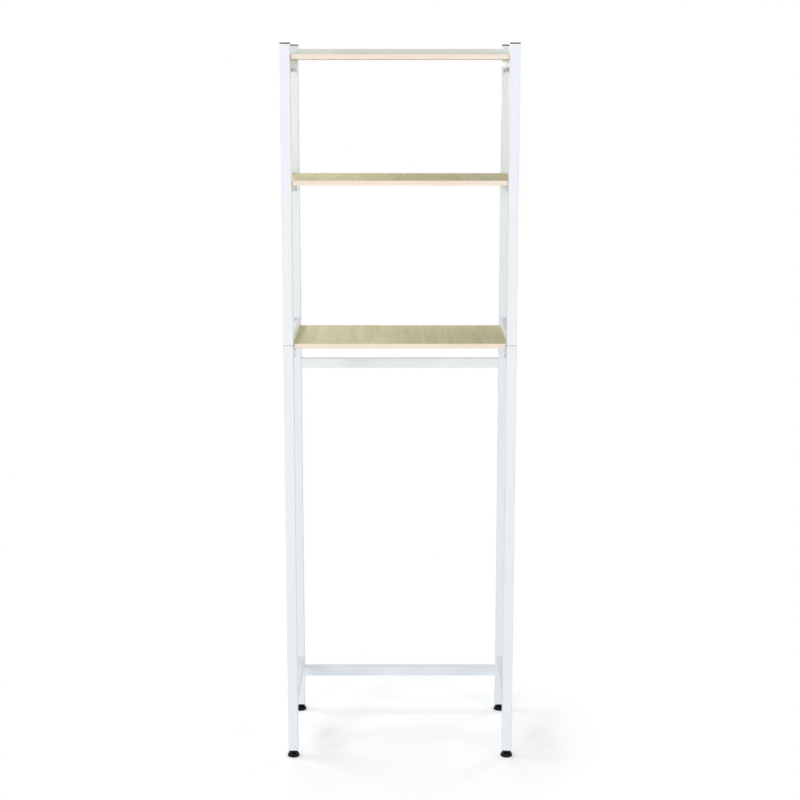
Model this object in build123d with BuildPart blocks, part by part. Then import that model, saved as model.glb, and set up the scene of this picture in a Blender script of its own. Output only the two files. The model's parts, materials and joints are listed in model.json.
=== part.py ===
from build123d import *
import os

# Over-toilet storage rack. Two welded side frames of square tube, each in a lower and an upper
# part, are tied by three back rails. Three shelves are bolted to the side rails, and each leg
# stands on a levelling foot. Sizes are in millimetres, the floor is at height 0, the middle of
# the footprint is the origin and the front faces -Y.

os.makedirs("parts", exist_ok=True)

# Legs
frame_width = 580.0
frame_depth = 355.0
leg_size = 25.0
tube_wall = 1.0
tube_corner = 2.0
lower_leg_length = 1065.6
leg_rise = 24.5  # upper legs above the top shelf's surface
plug_clearance = 0.1  # each side, between a tube and what is pushed into its end

# Rails
side_rail_height = 20.0
back_rail_height = 25.0
bottom_side_rail_rise = 120.0  # from the legs' lower end to the rail's underside
bottom_back_rail_rise = 84.0  # from the legs' lower end to the rail's underside
lower_back_rail_drop = 59.0  # from the lower shelf rails' underside to the back rail's top
top_back_rail_rise = 3.5  # from the top shelf's underside to the back rail's underside

# Shelves
shelf_thickness = 12.0
seam_cover = 8.0  # how far the lower legs reach up the edge of the lower shelf
middle_shelf_pitch = 403.5
top_shelf_pitch = 303.0
shelf_front_setback = 10.0
shelf_side_setback = 1.5
shelf_back_gap = 4.0
shelf_leg_gap = 1.0
edging_thickness = 1.0
edging_round = 0.4

# Shelf bolts and wing nuts
bolt_radius = 2.5
bolt_hole_gap = 0.25
bolt_head_radius = 5.0
bolt_head_height = 3.2
bolt_head_round = 2.6
bolt_from_leg = 50.0
bolt_proud = 4.0  # thread that shows below the nut's hub
cross_length = 5.4
cross_width = 1.1
cross_depth = 1.6
thread_gap = 0.05
nut_hub_radius = 5.5
nut_tip_radius = 4.0
nut_hub_height = 6.5
wing_span = 28.0
wing_height = 13.0
wing_root = 1.5
wing_shoulder = 6.0
wing_lip = 3.6
wing_round = 1.6
wing_thickness = 2.4
wing_turns = {  # degrees, as tightened by hand: front left, back left, front right, back right
    "lower": (25.0, 100.0, 5.0, 60.0),
    "middle": (75.0, 49.0, 80.0, 95.0),
    "top": (70.0, 30.0, 110.0, 140.0),
}

# Back rail bolts and end plugs
rail_bolt_radius = 3.0
rail_bolt_hole_gap = 0.2
rail_bolt_head_radius = 5.25
rail_bolt_head_height = 3.3
rail_bolt_head_round = 2.2
rail_bolt_socket = 4.0
rail_bolt_socket_depth = 1.9
rail_bolt_grip = 16.0  # length of bolt inside the end plug
rail_plug_length = 20.0

# Leg joiners and top caps
joiner_reach = 40.0  # into each leg
joiner_rim = 0.8  # between the ends of the two legs
joiner_wall = 1.5
cap_flange = 3.0
cap_round = 1.0
cap_plug_depth = 14.0
cap_plug_wall = 1.6

# Levelling feet
insert_flange = 3.0
insert_flange_inset = 0.5
insert_chamfer = 0.8
insert_depth = 25.0
stud_radius = 4.0
stud_tip = 3.0  # stud above the insert when the foot is screwed in
collar_across_flats = 17.0
collar_height = 4.8
collar_chamfer = 0.5
foot_gap = 0.3  # between foot pieces that move against each other
pad_radius = 15.5
pad_neck_radius = 9.5
pad_height = 10.0
pad_edge = 0.8
pad_rim = 2.6
pad_bulge = 1.3
pad_socket_floor = 3.0

# Places that follow from the sizes
sides = {"left": -1, "right": 1}
ends = {"front": -1, "back": 1}
leg_x = (frame_width - leg_size) / 2
leg_y = (frame_depth - leg_size) / 2
side_rail_length = frame_depth - 2 * leg_size
back_rail_length = frame_width - 2 * leg_size
plug_size = leg_size - 2 * tube_wall - 2 * plug_clearance
plug_corner = tube_corner - tube_wall

collar_bottom = pad_height + foot_gap
leg_bottom = collar_bottom + collar_height + foot_gap + insert_flange
seam = leg_bottom + lower_leg_length
upper_leg_bottom = seam + joiner_rim
shelf_heights = {"lower": seam - seam_cover}
shelf_heights["middle"] = shelf_heights["lower"] + middle_shelf_pitch
shelf_heights["top"] = shelf_heights["middle"] + top_shelf_pitch
leg_top = shelf_heights["top"] + shelf_thickness + leg_rise

side_rail_heights = {"bottom_side": leg_bottom + bottom_side_rail_rise}
for level, height in shelf_heights.items():
    side_rail_heights[f"{level}_shelf"] = height - side_rail_height
side_rail_heights["upper_base"] = shelf_heights["lower"] + shelf_thickness
lower_back_rail_top = side_rail_heights["lower_shelf"] - lower_back_rail_drop
back_rail_heights = {
    "bottom": leg_bottom + bottom_back_rail_rise,
    "lower": lower_back_rail_top - back_rail_height,
    "top": shelf_heights["top"] + top_back_rail_rise,
}

bolt_y = side_rail_length / 2 - bolt_from_leg
bolt_spots = [(x, y) for x in (-leg_x, leg_x) for y in (-bolt_y, bolt_y)]
rail_bolt_turn = {"left": (0, -90, 0), "right": (0, 90, 0)}


def save(piece, name):
    """Label a finished piece and write it as its own file."""
    piece.part.label = name
    export_step(piece.part, f"parts/{name}.step")


def tube_section(width, height):
    """Draw a hollow section with rounded corners in the sketch that is open."""
    RectangleRounded(width, height, tube_corner)
    hollow = (width - 2 * tube_wall, height - 2 * tube_wall)
    RectangleRounded(*hollow, tube_corner - tube_wall, mode=Mode.SUBTRACT)


def make_leg(name, spot, bottom, top, bolt_heights):
    with BuildPart() as leg:
        with BuildSketch(Plane.XY.offset(bottom)):
            with Locations(spot):
                tube_section(leg_size, leg_size)
        extrude(amount=top - bottom)
        for height in bolt_heights:
            with Locations(Location((*spot, height), (0, 90, 0))):
                Hole(rail_bolt_radius + rail_bolt_hole_gap)
    save(leg, name)


def make_joiner(name, spot):
    """Sleeve inside both legs at the seam, with a rim that the upper leg stands on."""
    sleeve_plane = Plane.XY.offset(seam - joiner_reach)
    sleeve_length = 2 * joiner_reach + joiner_rim
    hollow = plug_size - 2 * joiner_wall
    with BuildPart() as joiner:
        with BuildSketch(sleeve_plane):
            with Locations(spot):
                RectangleRounded(plug_size, plug_size, plug_corner)
        extrude(amount=sleeve_length)
        with BuildSketch(Plane.XY.offset(seam)):
            with Locations(spot):
                RectangleRounded(leg_size, leg_size, tube_corner)
        extrude(amount=joiner_rim)
        with BuildSketch(sleeve_plane):
            with Locations(spot):
                Rectangle(hollow, hollow)
        extrude(amount=sleeve_length, mode=Mode.SUBTRACT)
    save(joiner, name)


def make_cap(name, spot):
    with BuildPart() as cap:
        with BuildSketch(Plane.XY.offset(leg_top)):
            with Locations(spot):
                RectangleRounded(leg_size, leg_size, tube_corner)
        extrude(amount=cap_flange)
        fillet(cap.faces().sort_by(Axis.Z)[-1].edges(), cap_round)
        with BuildSketch(Plane.XY.offset(leg_top)):
            with Locations(spot):
                RectangleRounded(plug_size, plug_size, plug_corner)
                hollow = plug_size - 2 * cap_plug_wall
                Rectangle(hollow, hollow, mode=Mode.SUBTRACT)
        extrude(amount=-cap_plug_depth)
    save(cap, name)


def make_foot_insert(name, spot):
    """Plug in the leg's lower end, with the thread that the foot screws into."""
    flange_size = leg_size - 2 * insert_flange_inset
    with BuildPart() as insert:
        with BuildSketch(Plane.XY.offset(leg_bottom)):
            with Locations(spot):
                RectangleRounded(flange_size, flange_size, tube_corner)
        extrude(amount=-insert_flange)
        chamfer(insert.faces().sort_by(Axis.Z)[0].edges(), insert_chamfer)
        with BuildSketch(Plane.XY.offset(leg_bottom)):
            with Locations(spot):
                RectangleRounded(plug_size, plug_size, plug_corner)
        extrude(amount=insert_depth)
        with Locations((*spot, leg_bottom)):
            Hole(stud_radius + thread_gap)
    save(insert, name)


def make_foot_collar(name, spot):
    """Hexagon that is fast on the stud, to turn it by."""
    with BuildPart() as collar:
        with BuildSketch(Plane.XY.offset(collar_bottom)):
            with Locations(spot):
                RegularPolygon(collar_across_flats / 2, side_count=6, major_radius=False)
        extrude(amount=collar_height)
        chamfer(collar.faces().filter_by(Axis.Z).edges(), collar_chamfer)
        with Locations((*spot, collar_bottom)):
            Hole(stud_radius + thread_gap)
    save(collar, name)


def make_foot_stud(name, spot):
    stud_bottom = pad_socket_floor + foot_gap
    stud_top = leg_bottom + insert_depth + stud_tip
    with BuildPart() as stud:
        with Locations((*spot, stud_bottom)):
            upward = (Align.CENTER, Align.CENTER, Align.MIN)
            Cylinder(stud_radius, stud_top - stud_bottom, align=upward)
    save(stud, name)


def make_foot_pad(name, spot):
    """Domed disc that the stud's lower end turns in."""
    profile_plane = Plane((*spot, 0), x_dir=(1, 0, 0), z_dir=(0, -1, 0))
    shoulder = ((pad_radius + pad_neck_radius) / 2, (pad_rim + pad_height) / 2)
    crown = (shoulder[0] + pad_bulge, shoulder[1] + pad_bulge)
    with BuildPart() as pad:
        with BuildSketch(profile_plane):
            with BuildLine():
                Polyline(
                    (pad_neck_radius, pad_height),
                    (0, pad_height),
                    (0, 0),
                    (pad_radius - pad_edge, 0),
                    (pad_radius, pad_edge),
                    (pad_radius, pad_rim),
                )
                ThreePointArc((pad_radius, pad_rim), crown, (pad_neck_radius, pad_height))
            make_face()
        revolve(axis=Axis((*spot, 0), (0, 0, 1)))
        with Locations((*spot, pad_height)):
            Hole(stud_radius + thread_gap, depth=pad_height - pad_socket_floor)
    save(pad, name)


def make_side_rail(name, x, underside, bolted):
    section_plane = Plane(
        (x, -side_rail_length / 2, underside + side_rail_height / 2),
        x_dir=(1, 0, 0),
        z_dir=(0, 1, 0),
    )
    with BuildPart() as rail:
        with BuildSketch(section_plane):
            tube_section(leg_size, side_rail_height)
        extrude(amount=side_rail_length)
        if bolted:
            with Locations((x, -bolt_y, underside), (x, bolt_y, underside)):
                Hole(bolt_radius + bolt_hole_gap)
    save(rail, name)


def make_back_rail(name, underside):
    section_plane = Plane(
        (-back_rail_length / 2, leg_y, underside + back_rail_height / 2),
        x_dir=(0, 1, 0),
        z_dir=(1, 0, 0),
    )
    with BuildPart() as rail:
        with BuildSketch(section_plane):
            tube_section(leg_size, back_rail_height)
        extrude(amount=back_rail_length)
    save(rail, name)


def shelf_outline():
    """Outline of a shelf, with its front corners cut out for the legs."""
    front = shelf_front_setback - frame_depth / 2
    back = leg_y - leg_size / 2 - shelf_back_gap
    half_width = frame_width / 2 - shelf_side_setback
    notch_width = half_width - (leg_x - leg_size / 2) + shelf_leg_gap
    notch_depth = leg_size - shelf_front_setback + shelf_leg_gap
    with BuildSketch() as outline:
        with Locations((0, front)):
            Rectangle(2 * half_width, back - front, align=(Align.CENTER, Align.MIN))
        for side_sign, outer in ((-1, Align.MIN), (1, Align.MAX)):
            with Locations((side_sign * half_width, front)):
                Rectangle(notch_width, notch_depth, align=(outer, Align.MIN), mode=Mode.SUBTRACT)
    return outline.sketch


def make_shelf(level, underside):
    outline = shelf_outline()
    core = offset(outline, amount=-edging_thickness, kind=Kind.INTERSECTION)
    with BuildPart() as board:
        with BuildSketch(Plane.XY.offset(underside)):
            add(core)
        extrude(amount=shelf_thickness)
        with Locations(*[(x, y, underside) for x, y in bolt_spots]):
            Hole(bolt_radius + bolt_hole_gap)
    save(board, f"{level}_shelf")

    with BuildPart() as edging:
        with BuildSketch(Plane.XY.offset(underside)):
            add(outline)
            add(core, mode=Mode.SUBTRACT)
        extrude(amount=shelf_thickness)
        rings = edging.faces().filter_by(Axis.Z)
        fillet([edge for ring in rings for edge in ring.outer_wire().edges()], edging_round)
    save(edging, f"{level}_shelf_edging")


def bolt_model(length):
    """Round-head bolt with a cross recess. The head's underside is at height 0."""
    with BuildPart() as bolt:
        Cylinder(bolt_head_radius, bolt_head_height, align=(Align.CENTER, Align.CENTER, Align.MIN))
        fillet(bolt.edges().group_by(Axis.Z)[-1], bolt_head_round)
        with BuildSketch(Plane.XY.offset(bolt_head_height)):
            Rectangle(cross_length, cross_width)
            Rectangle(cross_width, cross_length)
        extrude(amount=-cross_depth, mode=Mode.SUBTRACT)
        Cylinder(bolt_radius, length, align=(Align.CENTER, Align.CENTER, Align.MAX))
    return bolt.part


def wing_nut_model():
    """Wing nut that hangs from its bearing face, which is at height 0."""
    half_span = wing_span / 2
    with BuildPart() as nut:
        Cone(
            nut_tip_radius,
            nut_hub_radius,
            nut_hub_height,
            align=(Align.CENTER, Align.CENTER, Align.MAX),
        )
        with BuildSketch(Plane.XZ) as wing:
            with BuildLine():
                Polyline(
                    (0, -wing_root),
                    (half_span, -wing_shoulder),
                    (half_span, -wing_height),
                    (half_span - wing_lip, -wing_height),
                    (0, -nut_hub_height),
                    close=True,
                )
            make_face()
            tip = wing.vertices().filter_by_position(Axis.X, half_span - wing_lip, half_span)
            fillet(tip, wing_round)
            mirror(about=Plane.YZ)
        extrude(amount=wing_thickness / 2, both=True)
        Hole(bolt_radius + thread_gap)
    return nut.part


def make_shelf_fasteners(level, underside):
    """The lower shelf is clamped between two rails, so its bolts are a rail longer."""
    rails_above = 1 if level == "lower" else 0
    head_seat = underside + shelf_thickness + rails_above * side_rail_height
    nut_seat = underside - side_rail_height
    bolt = bolt_model(head_seat - nut_seat + nut_hub_height + bolt_proud)
    with BuildPart() as bolts:
        with Locations(*[(x, y, head_seat) for x, y in bolt_spots]):
            add(bolt)
    save(bolts, f"{level}_shelf_bolts")

    nut = wing_nut_model()
    nut_places = [
        Location((x, y, nut_seat), (0, 0, turn))
        for (x, y), turn in zip(bolt_spots, wing_turns[level])
    ]
    with BuildPart() as nuts:
        with Locations(*nut_places):
            add(nut)
    save(nuts, f"{level}_shelf_wing_nuts")


def rail_bolt_model():
    """Button-head bolt with a hexagon socket. The head's underside is at height 0."""
    with BuildPart() as bolt:
        upward = (Align.CENTER, Align.CENTER, Align.MIN)
        Cylinder(rail_bolt_head_radius, rail_bolt_head_height, align=upward)
        fillet(bolt.edges().group_by(Axis.Z)[-1], rail_bolt_head_round)
        with BuildSketch(Plane.XY.offset(rail_bolt_head_height)):
            RegularPolygon(rail_bolt_socket / 2, side_count=6, major_radius=False)
        extrude(amount=-rail_bolt_socket_depth, mode=Mode.SUBTRACT)
        length = leg_size + rail_bolt_grip
        Cylinder(rail_bolt_radius, length, align=(Align.CENTER, Align.CENTER, Align.MAX))
    return bolt.part


def rail_plug_model():
    """Threaded plug for a back rail's end. Its outer face is at height 0."""
    plug_height = back_rail_height - 2 * tube_wall - 2 * plug_clearance
    with BuildPart() as plug:
        with BuildSketch():
            RectangleRounded(plug_height, plug_size, plug_corner)
        extrude(amount=-rail_plug_length)
        Hole(rail_bolt_radius + thread_gap)
    return plug.part


def make_back_rail_fasteners():
    bolt = rail_bolt_model()
    plug = rail_plug_model()
    bolt_places = []
    plug_places = []
    for side, side_sign in sides.items():
        for underside in back_rail_heights.values():
            axis_height = underside + back_rail_height / 2
            head_seat = (side_sign * frame_width / 2, leg_y, axis_height)
            rail_end = (side_sign * back_rail_length / 2, leg_y, axis_height)
            bolt_places.append(Location(head_seat, rail_bolt_turn[side]))
            plug_places.append(Location(rail_end, rail_bolt_turn[side]))
    with BuildPart() as bolts:
        with Locations(*bolt_places):
            add(bolt)
    save(bolts, "back_rail_bolts")
    with BuildPart() as plugs:
        with Locations(*plug_places):
            add(plug)
    save(plugs, "back_rail_end_plugs")


# The four corners
for end, end_sign in ends.items():
    for side, side_sign in sides.items():
        corner = f"{end}_{side}"
        spot = (side_sign * leg_x, end_sign * leg_y)
        axes = [underside + back_rail_height / 2 for underside in back_rail_heights.values()]
        bolt_axes = axes if end == "back" else []
        lower_axes = [height for height in bolt_axes if height < seam]
        upper_axes = [height for height in bolt_axes if height > seam]
        make_leg(f"lower_leg_{corner}", spot, leg_bottom, seam, lower_axes)
        make_leg(f"upper_leg_{corner}", spot, upper_leg_bottom, leg_top, upper_axes)
        make_joiner(f"leg_joiner_{corner}", spot)
        make_cap(f"top_cap_{corner}", spot)
        make_foot_insert(f"foot_insert_{corner}", spot)
        make_foot_collar(f"foot_collar_{corner}", spot)
        make_foot_stud(f"foot_stud_{corner}", spot)
        make_foot_pad(f"foot_pad_{corner}", spot)

# Rails between the corners
for rail, underside in side_rail_heights.items():
    for side, side_sign in sides.items():
        bolted = rail != "bottom_side"
        make_side_rail(f"{rail}_rail_{side}", side_sign * leg_x, underside, bolted)
for rail, underside in back_rail_heights.items():
    make_back_rail(f"{rail}_back_rail", underside)
make_back_rail_fasteners()

# Shelves
for level, underside in shelf_heights.items():
    make_shelf(level, underside)
    make_shelf_fasteners(level, underside)
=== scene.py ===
import json
import math

import bmesh
import bpy
from mathutils import Matrix, Vector


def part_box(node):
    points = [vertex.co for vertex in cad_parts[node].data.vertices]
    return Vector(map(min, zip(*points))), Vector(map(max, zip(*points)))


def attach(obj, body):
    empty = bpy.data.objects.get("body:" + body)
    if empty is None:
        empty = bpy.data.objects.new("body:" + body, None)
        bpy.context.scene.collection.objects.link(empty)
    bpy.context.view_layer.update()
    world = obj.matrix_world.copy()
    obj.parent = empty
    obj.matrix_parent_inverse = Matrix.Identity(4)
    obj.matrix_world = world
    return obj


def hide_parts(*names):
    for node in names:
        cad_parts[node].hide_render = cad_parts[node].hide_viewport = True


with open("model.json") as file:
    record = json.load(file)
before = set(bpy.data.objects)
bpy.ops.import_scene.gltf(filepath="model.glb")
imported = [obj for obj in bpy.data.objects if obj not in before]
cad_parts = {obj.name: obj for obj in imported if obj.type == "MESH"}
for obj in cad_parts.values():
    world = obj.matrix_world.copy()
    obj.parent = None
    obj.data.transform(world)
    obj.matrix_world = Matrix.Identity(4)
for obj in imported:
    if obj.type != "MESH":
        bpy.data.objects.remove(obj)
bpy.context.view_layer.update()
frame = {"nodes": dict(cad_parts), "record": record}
nodes = frame["nodes"]

MM = 0.001
SIDES = ("left", "right")
ENDS = ("front", "back")
CORNERS = [f"{end}_{side}" for end in ENDS for side in SIDES]
LEVELS = ("lower", "middle", "top")
# Level weld beads at the ends of each pair of side rails: under the rail, over it or both
RAIL_SEAMS = {
    "bottom_side": ("under", "over"),
    "lower_shelf": ("under",),
    "upper_base": ("over",),
    "middle_shelf": ("under",),
    "top_shelf": ("under",),
}
WING_HUB_HEIGHT = 6.5 * MM
MERGE_DISTANCE = 0.001 * MM
SHARP_ANGLE = math.radians(35)
FULL_TURN = {"cent": (0.0, 0.0, 0.0), "axis": (0.0, 0.0, 1.0), "angle": math.tau}


# Shader nodes

class Signal:
    """One output of a shader node, which takes part in Python arithmetic."""

    def __init__(self, tree, output):
        self.tree = tree
        self.output = output

    def math(self, operation, first, second):
        return self.tree.add("ShaderNodeMath", {"operation": operation}, {0: first, 1: second})

    def __add__(self, other):
        return self.math("ADD", self, other)

    def __radd__(self, other):
        return self.math("ADD", other, self)

    def __sub__(self, other):
        return self.math("SUBTRACT", self, other)

    def __rsub__(self, other):
        return self.math("SUBTRACT", other, self)

    def __mul__(self, other):
        return self.math("MULTIPLY", self, other)

    def __rmul__(self, other):
        return self.math("MULTIPLY", other, self)

    def larger(self, other):
        return self.math("MAXIMUM", self, other)


class NodeTree:
    """Adds nodes to a material or a world."""

    def __init__(self, owner):
        owner.use_nodes = True
        self.nodes = owner.node_tree.nodes
        self.links = owner.node_tree.links

    def add(self, kind, settings=None, inputs=None, output=0):
        """A new node with its settings, then its sockets, set. Returns one of its outputs."""
        node = self.nodes.new(kind)
        for name, value in (settings or {}).items():
            setattr(node, name, value)
        for name, value in (inputs or {}).items():
            self.feed(node.inputs[name], value)
        return Signal(self, node.outputs[output])

    def feed(self, socket, value):
        """Link a signal to a socket, or set the socket to a plain value."""
        if isinstance(value, Signal):
            self.links.new(value.output, socket)
        else:
            socket.default_value = value

    def mix(self, factor, first, second):
        """Blend of two colours. The colour sockets of a Mix node are 6, 7 and output 2."""
        sockets = {0: factor, 6: first, 7: second}
        return self.add("ShaderNodeMix", {"data_type": "RGBA"}, sockets, output=2)

    def looked_at(self):
        """1 for rays from the camera and for those that it sees in gloss or glass."""
        camera = self.add("ShaderNodeLightPath", output="Is Camera Ray")
        glossy = self.add("ShaderNodeLightPath", output="Is Glossy Ray")
        through = self.add("ShaderNodeLightPath", output="Is Transmission Ray")
        return camera.larger(glossy).larger(through)


class Finish(NodeTree):
    """A material that is put together round one Principled shader."""

    def __init__(self, name, **constants):
        self.material = bpy.data.materials.new(name)
        super().__init__(self.material)
        self.shader = self.nodes["Principled BSDF"]
        for socket, value in constants.items():
            self.feed(self.shader.inputs[socket.replace("_", " ")], value)
        self.place = self.add("ShaderNodeTexCoord", output="Object")

    def stretched(self, x, y, z):
        """Object coordinates, multiplied along each axis."""
        return self.add("ShaderNodeMapping", inputs={"Vector": self.place, "Scale": (x, y, z)})

    def noise(self, scale, detail=2.0, roughness=0.5, vector=None):
        sockets = {"Vector": vector or self.place, "Scale": scale, "Detail": detail, "Roughness": roughness}
        return self.add("ShaderNodeTexNoise", inputs=sockets)

    def step(self, signal, low, high):
        """0 up to low, 1 from high, smooth between."""
        sockets = {"Value": signal, "From Min": low, "From Max": high}
        return self.add("ShaderNodeMapRange", {"interpolation_type": "SMOOTHSTEP"}, sockets)

    def wear(self, tone, roughness, height, depth):
        """Join what varies over the surface to the shader. Depth is the relief's, in metres."""
        relief = self.add("ShaderNodeBump", inputs={"Distance": depth, "Height": height})
        self.feed(self.shader.inputs["Base Color"], tone)
        self.feed(self.shader.inputs["Roughness"], roughness)
        self.feed(self.shader.inputs["Normal"], relief)
        return self.material


def colour(red, green, blue):
    return (red, green, blue, 1.0)


# Finishes

def powder_coat():
    """Cool white powder coat with a fine orange peel and a few faint rub marks."""
    dull_white = colour(0.82, 0.85, 0.885)
    clear_white = colour(0.86, 0.885, 0.915)
    rubbed_grey = colour(0.62, 0.64, 0.66)
    rub_strength = 0.10
    grit_share = 0.25
    paint = Finish("powder_coat", Specular_IOR_Level=0.45)
    cloud = paint.noise(scale=5.0, detail=3.0)
    along_leg = paint.stretched(1.0, 1.0, 0.25)
    scuffs = paint.noise(scale=38.0, detail=5.0, roughness=0.62, vector=along_leg)
    rubs = paint.step(scuffs, low=0.63, high=0.74)
    tone = paint.mix(cloud, dull_white, clear_white)
    tone = paint.mix(rubs * rub_strength, tone, rubbed_grey)
    roughness = 0.36 + 0.10 * cloud + 0.12 * rubs
    peel = paint.noise(scale=620.0, roughness=0.4)
    grit = paint.noise(scale=2600.0, detail=1.0)
    return paint.wear(tone, roughness, peel + grit_share * grit, depth=0.12 * MM)


def laminate():
    """Pale wood-grain laminate. The grain runs from front to back."""
    dark_figure = colour(0.63, 0.58, 0.315)
    pale_figure = colour(0.755, 0.705, 0.42)
    pale_fibre = colour(0.85, 0.80, 0.56)
    dark_pore = colour(0.49, 0.43, 0.25)
    fibre_strength = 0.45
    pore_strength = 0.35
    pore_depth_share = 0.7
    sway_reach = 0.05
    change_with_height = 3.0
    board = Finish("laminate", Specular_IOR_Level=0.12)
    sway = board.noise(scale=3.2, vector=board.stretched(1.0, 0.45, 6.0))
    x, y, z = [board.add("ShaderNodeSeparateXYZ", inputs={0: board.place}, output=axis) for axis in "XYZ"]
    across = x + sway_reach * sway

    def streaks(fineness, along, detail, roughness):
        """Noise drawn out along the grain, different on each shelf."""
        sockets = {"X": across * fineness, "Y": y * along, "Z": z * change_with_height}
        drawn_out = board.add("ShaderNodeCombineXYZ", inputs=sockets)
        return board.noise(1.0, detail, roughness, drawn_out)

    figure = streaks(fineness=46.0, along=2.6, detail=3.0, roughness=0.55)
    fibre = streaks(fineness=330.0, along=7.0, detail=4.0, roughness=0.6)
    specks = streaks(fineness=900.0, along=26.0, detail=2.0, roughness=0.5)
    pores = board.step(specks, low=0.60, high=0.72)
    tone = board.mix(board.step(figure, low=0.30, high=0.70), dark_figure, pale_figure)
    tone = board.mix(board.step(fibre, low=0.35, high=0.75) * fibre_strength, tone, pale_fibre)
    tone = board.mix(pores * pore_strength, tone, dark_pore)
    roughness = 0.48 + 0.10 * fibre
    return board.wear(tone, roughness, fibre - pore_depth_share * pores, depth=0.06 * MM)


def edge_band():
    """Peach edge band with a faint grain along it."""
    dark_peach = colour(0.86, 0.72, 0.58)
    pale_peach = colour(0.93, 0.81, 0.68)
    band = Finish("edge_band", Specular_IOR_Level=0.4)
    along_edge = band.stretched(14.0, 14.0, 900.0)
    fibre = band.noise(scale=1.0, detail=4.0, roughness=0.6, vector=along_edge)
    fleck = band.noise(scale=210.0)
    tone = band.mix(band.step(fibre, low=0.35, high=0.7), dark_peach, pale_peach)
    roughness = 0.38 + 0.12 * fleck
    return band.wear(tone, roughness, fibre, depth=0.04 * MM)


def moulded_black(name, shine, rough):
    """Black moulded plastic with a fine skin and some handling haze."""
    deep_black = colour(0.004, 0.004, 0.005)
    hazy_black = colour(0.012, 0.012, 0.014)
    plastic = Finish(name, Specular_IOR_Level=shine)
    haze = plastic.noise(scale=60.0, detail=4.0, roughness=0.6)
    skin = plastic.noise(scale=2400.0)
    tone = plastic.mix(haze, deep_black, hazy_black)
    roughness = rough + 0.14 * haze
    return plastic.wear(tone, roughness, skin, depth=0.03 * MM)


def plated_steel(name, rough):
    """Zinc-plated steel with fine turning marks."""
    dull_zinc = colour(0.44, 0.45, 0.47)
    bright_zinc = colour(0.60, 0.61, 0.63)
    steel = Finish(name, Metallic=1.0)
    round_axis = steel.stretched(120.0, 120.0, 3200.0)
    turning = steel.noise(scale=1.0, detail=3.0, roughness=0.6, vector=round_axis)
    bloom = steel.noise(scale=240.0, detail=3.0)
    tone = steel.mix(bloom, dull_zinc, bright_zinc)
    roughness = rough + 0.18 * bloom
    return steel.wear(tone, roughness, turning, depth=0.02 * MM)


finishes = {
    "frame_paint": powder_coat(),
    "shelf_board": laminate(),
    "shelf_edging": edge_band(),
    "black_plastic": moulded_black("black_plastic", shine=0.22, rough=0.43),
    "foot_plastic": moulded_black("foot_plastic", shine=0.09, rough=0.08),
    "stud_steel": plated_steel("stud_steel", rough=0.30),
    "bright_bolt": plated_steel("bright_bolt", rough=0.30),
    "shelf_fastener": plated_steel("shelf_fastener", rough=0.36),
}
for subpart in frame["record"]["subparts"]:
    for material_slot in nodes[subpart["node"]].material_slots:
        material_slot.material = finishes[subpart["material_slot"]]


# New pieces

def finished_piece(name, shape, slot, body, *stands_for):
    """Turn a bmesh into a piece with a finish that rides on a body and may stand for CAD nodes."""
    bmesh.ops.remove_doubles(shape, verts=shape.verts, dist=MERGE_DISTANCE)
    bmesh.ops.recalc_face_normals(shape, faces=shape.faces)
    mesh = bpy.data.meshes.new(name)
    shape.to_mesh(mesh)
    shape.free()
    mesh.materials.append(finishes[slot])
    mesh.shade_smooth()
    mesh.set_sharp_from_angle(angle=SHARP_ANGLE)
    piece = bpy.data.objects.new(name, mesh)
    bpy.context.scene.collection.objects.link(piece)
    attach(piece, body)
    if stands_for:
        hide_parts(*stands_for)


def draw_line(shape, points, closed=False):
    """Edges through the points, with the vertices, as geometry for an operator."""
    verts = [shape.verts.new(point) for point in points]
    pairs = list(zip(verts, verts[1:]))
    if closed:
        pairs.append((verts[-1], verts[0]))
    return verts + [shape.edges.new(pair) for pair in pairs]


def turned(shape, profile, segments, closed=False):
    """Spin a profile of radius and height round the Z axis. Returns the new vertices."""
    before = set(shape.verts)
    line = draw_line(shape, [(radius, 0.0, height) for radius, height in profile], closed)
    bmesh.ops.spin(shape, geom=line, steps=segments, use_merge=True, **FULL_TURN)
    return [vert for vert in shape.verts if vert not in before]


def repeated(shape, offsets):
    """Move all that the shape holds so far to the first offset, and a copy to each of the others."""
    pattern = [*shape.verts, *shape.edges, *shape.faces]
    first = list(shape.verts)
    for offset in offsets[1:]:
        copy = bmesh.ops.duplicate(shape, geom=pattern)["geom"]
        verts = [item for item in copy if isinstance(item, bmesh.types.BMVert)]
        bmesh.ops.translate(shape, verts=verts, vec=offset)
    bmesh.ops.translate(shape, verts=first, vec=offsets[0])


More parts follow.
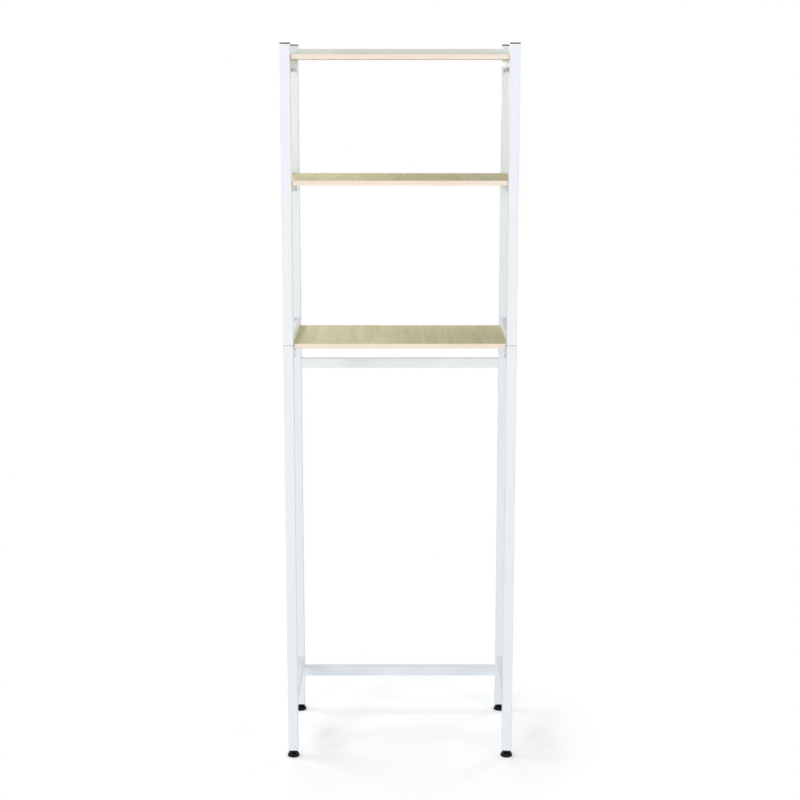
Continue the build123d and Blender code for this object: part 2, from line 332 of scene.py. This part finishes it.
def threaded_rod(low, high, crest, depth, pitch):
    """Right-hand screw thread on the Z axis between two heights, with its ends chamfered and closed."""
    steps = 28
    spare_turns = 2
    flank, flat = 0.42, 0.10
    root = crest - depth
    tip = root - depth / 2
    turns = math.ceil((high - low) / pitch) + spare_turns
    far_flank = flank + flat
    tooth = [(root, 0.0), (crest, flank), (crest, far_flank), (root, far_flank + flank), (root, 1.0)]
    rod = bmesh.new()
    line = draw_line(rod, [(radius, 0.0, low + pitch * (rise - 1.0)) for radius, rise in tooth])
    bmesh.ops.spin(rod, geom=line, steps=steps, dvec=(0.0, 0.0, pitch / steps), **FULL_TURN)
    repeated(rod, [(0.0, 0.0, turn * pitch) for turn in range(turns)])
    bmesh.ops.remove_doubles(rod, verts=rod.verts, dist=MERGE_DISTANCE)
    for vert in rod.verts:
        from_end = max(0.0, min(vert.co.z - low, high - vert.co.z))
        chamfered = tip + from_end
        radius = vert.co.xy.length
        if radius > chamfered:
            vert.co.xy *= chamfered / radius
    for height, outward in ((low, -1.0), (high, 1.0)):
        cut = {"plane_co": (0.0, 0.0, height), "plane_no": (0.0, 0.0, outward), "clear_outer": True}
        bmesh.ops.bisect_plane(rod, geom=[*rod.verts, *rod.edges, *rod.faces], **cut)
    bmesh.ops.holes_fill(rod, edges=[edge for edge in rod.edges if edge.is_boundary])
    return rod


def foot_studs():
    """Threaded studs of the levelling feet."""
    thread = {"crest": 3.98 * MM, "depth": 0.68 * MM, "pitch": 1.25 * MM}
    for corner in CORNERS:
        node = f"foot_stud_{corner}"
        low, high = map(Vector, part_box(node))
        middle = (low + high) / 2
        shape = threaded_rod(low.z, high.z, **thread)
        repeated(shape, [(*middle.xy, 0.0)])
        finished_piece(f"threaded_stud_{corner}", shape, "stud_steel", f"screw_{corner}", node)


def bolt_spots(level):
    """Where the bolts of a shelf stand."""
    head_radius = 5.0 * MM
    reach = Vector(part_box(f"{level}_shelf_bolts")[1]).xy - Vector((head_radius, head_radius))
    return [Vector((x, y)) for x in (-reach.x, reach.x) for y in (-reach.y, reach.y)]


def wing_turn(node, spot):
    """Angle at which a wing nut of the node was left, seen from above."""
    near = 16.0 * MM
    offsets = [vert.co.xy - spot for vert in node.data.vertices]
    offsets = [offset for offset in offsets if offset.length < near]
    lean = sum(2.0 * offset.x * offset.y for offset in offsets)
    spread = sum(offset.x ** 2 - offset.y ** 2 for offset in offsets)
    return math.atan2(lean, spread) / 2


def wing(shape):
    """One ear of a wing nut, which points along +X and hangs below height 0. Returns its vertices."""
    thickness = 2.4 * MM
    corner_radius = 1.7 * MM
    rim_radius = 0.7 * MM
    outline = [(2.9, -1.9), (9.6, -3.4), (14.0, -6.4), (14.0, -13.0), (10.2, -13.0), (3.2, -6.2)]
    soft = {"profile": 0.5, "material": -1}
    before = set(shape.verts)

    def is_new(part):
        return all(vert not in before for vert in part.verts)

    verts = [shape.verts.new((x * MM, -thickness / 2, z * MM)) for x, z in outline]
    shape.faces.new(verts)
    outer_corners = verts[1:5]
    bmesh.ops.bevel(shape, geom=outer_corners, offset=corner_radius, segments=5, affect="VERTICES", **soft)
    side = [face for face in shape.faces if is_new(face)]
    block = bmesh.ops.extrude_face_region(shape, geom=side)["geom"]
    moved = [item for item in block if isinstance(item, bmesh.types.BMVert)]
    bmesh.ops.translate(shape, verts=moved, vec=(0.0, thickness, 0.0))
    edges = [edge for edge in shape.edges if is_new(edge)]
    rims = [edge for edge in edges if abs(edge.verts[0].co.y - edge.verts[1].co.y) < thickness / 2]
    bmesh.ops.bevel(shape, geom=rims, offset=rim_radius, segments=3, affect="EDGES", **soft)
    return [vert for vert in shape.verts if vert not in before]


def wing_nuts(level):
    """The wing nuts under a shelf's rails, turned as they were tightened."""
    node = f"{level}_shelf_wing_nuts"
    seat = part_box(node)[1][2]
    hub_segments = 40
    bore = 2.95 * MM
    flange = [(5.0 * MM, 0.0), (5.5 * MM, -0.5 * MM)]
    neck = [(4.3 * MM, -5.7 * MM), (3.7 * MM, -WING_HUB_HEIGHT)]
    hub = [(bore, 0.0), *flange, *neck, (bore, -WING_HUB_HEIGHT)]
    shape = bmesh.new()
    for spot in bolt_spots(level):
        made = turned(shape, hub, hub_segments, closed=True)
        for half_turn in (0.0, math.pi):
            ear = wing(shape)
            bmesh.ops.rotate(shape, verts=ear, matrix=Matrix.Rotation(half_turn, 3, "Z"))
            made += ear
        turn = Matrix.Rotation(wing_turn(nodes[node], spot), 3, "Z")
        bmesh.ops.rotate(shape, verts=made, matrix=turn)
        bmesh.ops.translate(shape, verts=made, vec=(*spot, seat))
    finished_piece(f"{level}_wing_nuts", shape, "shelf_fastener", "frame", node)


def bolt_threads(level):
    """Thread on the bolt ends, which show below the nuts."""
    thread = {"crest": 2.9 * MM, "depth": 0.36 * MM, "pitch": 0.9 * MM}
    inside_nut = 2.0 * MM
    skin = 0.1 * MM
    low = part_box(f"{level}_shelf_bolts")[0][2] - skin
    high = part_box(f"{level}_shelf_wing_nuts")[1][2] - WING_HUB_HEIGHT + inside_nut
    shape = threaded_rod(low, high, **thread)
    repeated(shape, [(*spot, 0.0) for spot in bolt_spots(level)])
    finished_piece(f"{level}_bolt_threads", shape, "shelf_fastener", "frame")


def weld_bead(shape, start, end, radius):
    """Rippled bead with round ends along a line."""
    ripple = 1.8 * MM
    dip = 0.13 * MM
    per_ripple = 4
    segments = 16
    along = Vector(end) - Vector(start)
    count = per_ripple * round(along.length / ripple)
    profile = []
    for step in range(count + 1):
        reach = along.length * step / count
        from_end = min(reach, along.length - reach, radius)
        roundness = math.sqrt(1.0 - (1.0 - from_end / radius) ** 2)
        wave = (1.0 + math.cos(math.tau * step / per_ripple)) / 2
        profile.append(((radius - dip * wave) * roundness, reach))
    bead = turned(shape, profile, segments)
    bmesh.ops.rotate(shape, verts=bead, matrix=along.to_track_quat("Z", "Y").to_matrix())
    bmesh.ops.translate(shape, verts=bead, vec=start)


def rail_welds(rail, side, seams):
    """Painted beads where a side rail meets the front and the back leg."""
    corner = 0.8 * MM
    fillet_radius, fillet_sunk = 2.9 * MM, 1.1 * MM
    butt_radius, butt_sunk, butt_shift = 2.4 * MM, 1.95 * MM, 0.8 * MM
    low, high = map(Vector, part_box(f"{rail}_rail_{side}"))
    levels = {"under": low.z + fillet_sunk, "over": high.z - fillet_sunk}
    shape = bmesh.new()
    for end, into_leg in ((low.y, -1.0), (high.y, 1.0)):
        for seam in seams:
            place = (end + into_leg * fillet_sunk, levels[seam])
            weld_bead(shape, (low.x + corner, *place), (high.x - corner, *place), fillet_radius)
        for x in (low.x + butt_sunk, high.x - butt_sunk):
            place = (x, end + into_leg * butt_shift)
            weld_bead(shape, (*place, low.z + corner), (*place, high.z - corner), butt_radius)
    finished_piece(f"{rail}_welds_{side}", shape, "frame_paint", "frame")


foot_studs()
for level in LEVELS:
    wing_nuts(level)
    bolt_threads(level)
for rail, seams in RAIL_SEAMS.items():
    for side in SIDES:
        rail_welds(rail, side, seams)


# Staging

def pale_floor():
    """White floor that keeps the rack's shadow, fades into the background and is clear from below."""
    reach = 30.0
    fade_start, fade_end = 0.32, 0.56
    glow = 0.30
    floor_white = colour(0.9, 0.9, 0.9)
    bounce_near = colour(0.74, 0.82, 0.82)
    bounce_far = colour(0.82, 0.82, 0.82)
    shape = bmesh.new()
    bmesh.ops.create_grid(shape, x_segments=1, y_segments=1, size=reach)
    mesh = bpy.data.meshes.new("floor")
    shape.to_mesh(mesh)
    shape.free()
    floor = bpy.data.objects.new("floor", mesh)
    bpy.context.scene.collection.objects.link(floor)

    white = Finish("pale_floor", Roughness=0.9, Specular_IOR_Level=0.0, Base_Color=floor_white)
    distance = white.add("ShaderNodeVectorMath", {"operation": "LENGTH"}, {0: white.place}, output="Value")
    fade = white.step(distance, fade_start, fade_end)
    shadowed = Signal(white, white.shader.outputs[0])
    glowing = white.add("ShaderNodeEmission", inputs={"Strength": glow})
    lit = white.add("ShaderNodeAddShader", inputs={0: shadowed, 1: glowing})
    background = white.add("ShaderNodeEmission", inputs={"Strength": 1.0})
    seen = white.add("ShaderNodeMixShader", inputs={0: fade, 1: lit, 2: background})
    bounce = white.mix(fade, bounce_near, bounce_far)
    unseen = white.add("ShaderNodeBsdfDiffuse", inputs={"Color": bounce})
    top = white.add("ShaderNodeMixShader", inputs={0: white.looked_at(), 1: unseen, 2: seen})
    from_below = white.add("ShaderNodeNewGeometry", output="Backfacing")
    clear = white.add("ShaderNodeBsdfTransparent")
    surface = white.add("ShaderNodeMixShader", inputs={0: from_below, 1: top, 2: clear})
    white.feed(white.nodes["Material Output"].inputs["Surface"], surface)
    mesh.materials.append(white.material)


def white_room():
    """Soft fill light from all round, and a white background to look at."""
    fill = 0.32
    fill_tint = colour(0.94, 0.97, 1.0)
    background = colour(1.0, 1.0, 1.0)
    world = bpy.data.worlds.new("white_room")
    bpy.context.scene.world = world
    room = NodeTree(world)
    backdrop = room.nodes["Background"]
    seen = room.looked_at()
    room.feed(backdrop.inputs["Color"], room.mix(seen, fill_tint, background))
    room.feed(backdrop.inputs["Strength"], fill + (1.0 - fill) * seen)


def soft_box(name, place, aim_height, size, watts):
    """Area lamp of a width and a height, turned to a point on the rack's middle line."""
    lamp = bpy.data.lights.new(name, "AREA")
    lamp.shape = "RECTANGLE"
    lamp.size, lamp.size_y = size
    lamp.energy = watts
    box = bpy.data.objects.new(name, lamp)
    box.location = place
    towards = Vector((0.0, 0.0, aim_height)) - Vector(place)
    box.rotation_euler = towards.to_track_quat("-Z", "Y").to_euler()
    bpy.context.scene.collection.objects.link(box)


def front_camera():
    """Straight in front, a little below the top shelf, looking a little down."""
    image_width = 800
    focal_pixels = 1704.0
    sensor = 36.0
    frame_front = -177.5 * MM
    stand_off = 4180.6 * MM
    eye_height = 1754.8 * MM
    tilt = math.radians(10.93)
    lens = bpy.data.cameras.new("camera")
    lens.sensor_width = sensor
    lens.lens = sensor * focal_pixels / image_width
    view = bpy.data.objects.new("camera", lens)
    view.location = (0.0, frame_front - stand_off, eye_height)
    view.rotation_euler = (math.pi / 2 - tilt, 0.0, 0.0)
    bpy.context.scene.collection.objects.link(view)
    bpy.context.scene.camera = view


pale_floor()
white_room()
soft_box("key", place=(-4.4, -7.9, 2.2), aim_height=1.0, size=(1.8, 2.2), watts=195.0)
soft_box("front_wide", place=(0.9, -8.0, 1.35), aim_height=1.0, size=(6.0, 2.5), watts=108.0)
soft_box("right_fill", place=(5.5, -6.5, 1.9), aim_height=1.0, size=(2.2, 2.4), watts=128.0)
soft_box("left_high", place=(-6.2, -4.1, 5.6), aim_height=1.0, size=(1.8, 2.2), watts=60.0)
soft_box("left_overhead", place=(-3.2, 0.8, 5.0), aim_height=1.2, size=(2.2, 2.2), watts=70.0)
soft_box("back_left", place=(-1.8, 4.8, 2.5), aim_height=1.2, size=(2.0, 1.6), watts=62.0)
soft_box("back_right", place=(4.4, 4.2, 2.6), aim_height=1.1, size=(2.0, 2.0), watts=66.0)
front_camera()
bpy.context.scene.view_settings.view_transform = "Standard"
